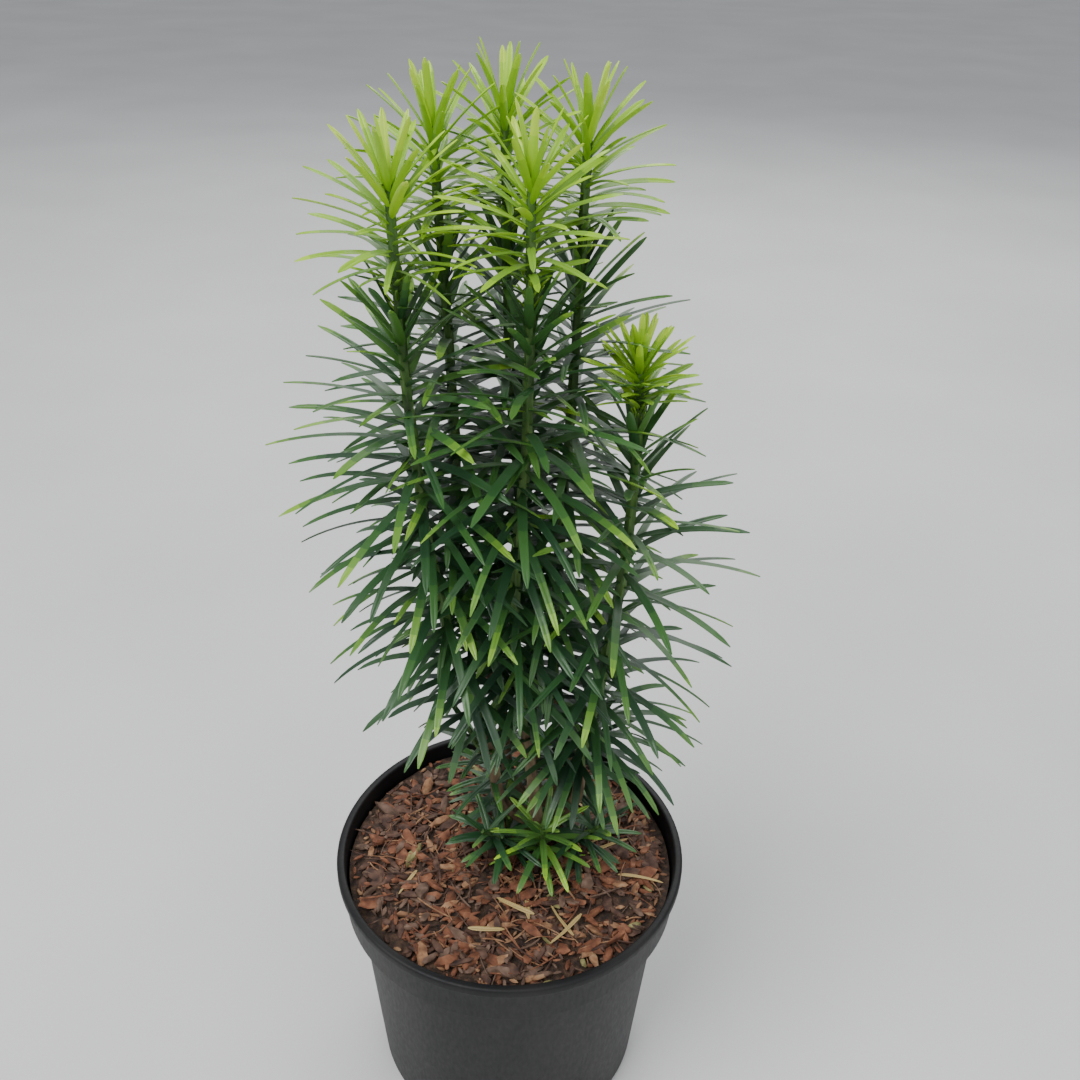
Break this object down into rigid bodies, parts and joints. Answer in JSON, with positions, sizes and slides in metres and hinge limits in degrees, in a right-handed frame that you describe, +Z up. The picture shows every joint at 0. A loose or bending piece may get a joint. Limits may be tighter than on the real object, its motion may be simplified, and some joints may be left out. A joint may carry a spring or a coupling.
{
  "type": "potted plum yew",
  "caption": "Young upright plum yew with long flat needles, yellow-green at the tips, growing from bark mulch in a round black nursery pot.",
  "frame": {"origin": "centre of the pot's flat underside", "axes": "+Z up along the pot's axis and the shoots; -Y towards the viewer of the picture; +X to the viewer's right"},
  "size_m": [0.2021, 0.19, 0.5528],
  "materials": {
    "pot": "matt black moulded plastic",
    "mulch": "loose reddish brown bark chips over potting mix",
    "bark": "rough brown bark",
    "green_bark": "ribbed green young bark",
    "needles": "satin dark green needles",
    "tip_needles": "satin yellow-green needles"
  },
  "bodies": {
    "root": {"pot": "pot", "bark_mulch_fill": "mulch", "trunk": "bark", "bough_left_front": "green_bark", "bough_left_back": "green_bark", "bough_back_centre": "green_bark", "bough_front_centre": "green_bark", "bough_back_right": "green_bark", "bough_right": "green_bark", "foliage_left_front_lower": "needles", "foliage_left_front_middle": "needles", "foliage_left_front_tip": "tip_needles", "foliage_left_back_lower": "needles", "foliage_left_back_middle": "needles", "foliage_left_back_tip": "tip_needles", "foliage_back_centre_lower": "needles", "foliage_back_centre_middle": "needles", "foliage_back_centre_tip": "tip_needles", "foliage_front_centre_lower": "needles", "foliage_front_centre_middle": "needles", "foliage_front_centre_tip": "tip_needles", "foliage_back_right_lower": "needles", "foliage_back_right_middle": "needles", "foliage_back_right_tip": "tip_needles", "foliage_right_lower": "needles", "foliage_right_middle": "needles", "foliage_right_tip": "tip_needles", "sprig_front": "needles", "sprig_left": "needles", "sprig_right": "needles", "sprig_back": "needles", "sprig_low_left": "needles", "sprig_low_right": "needles", "sprig_low_back": "needles"}
  },
  "joints": []
}
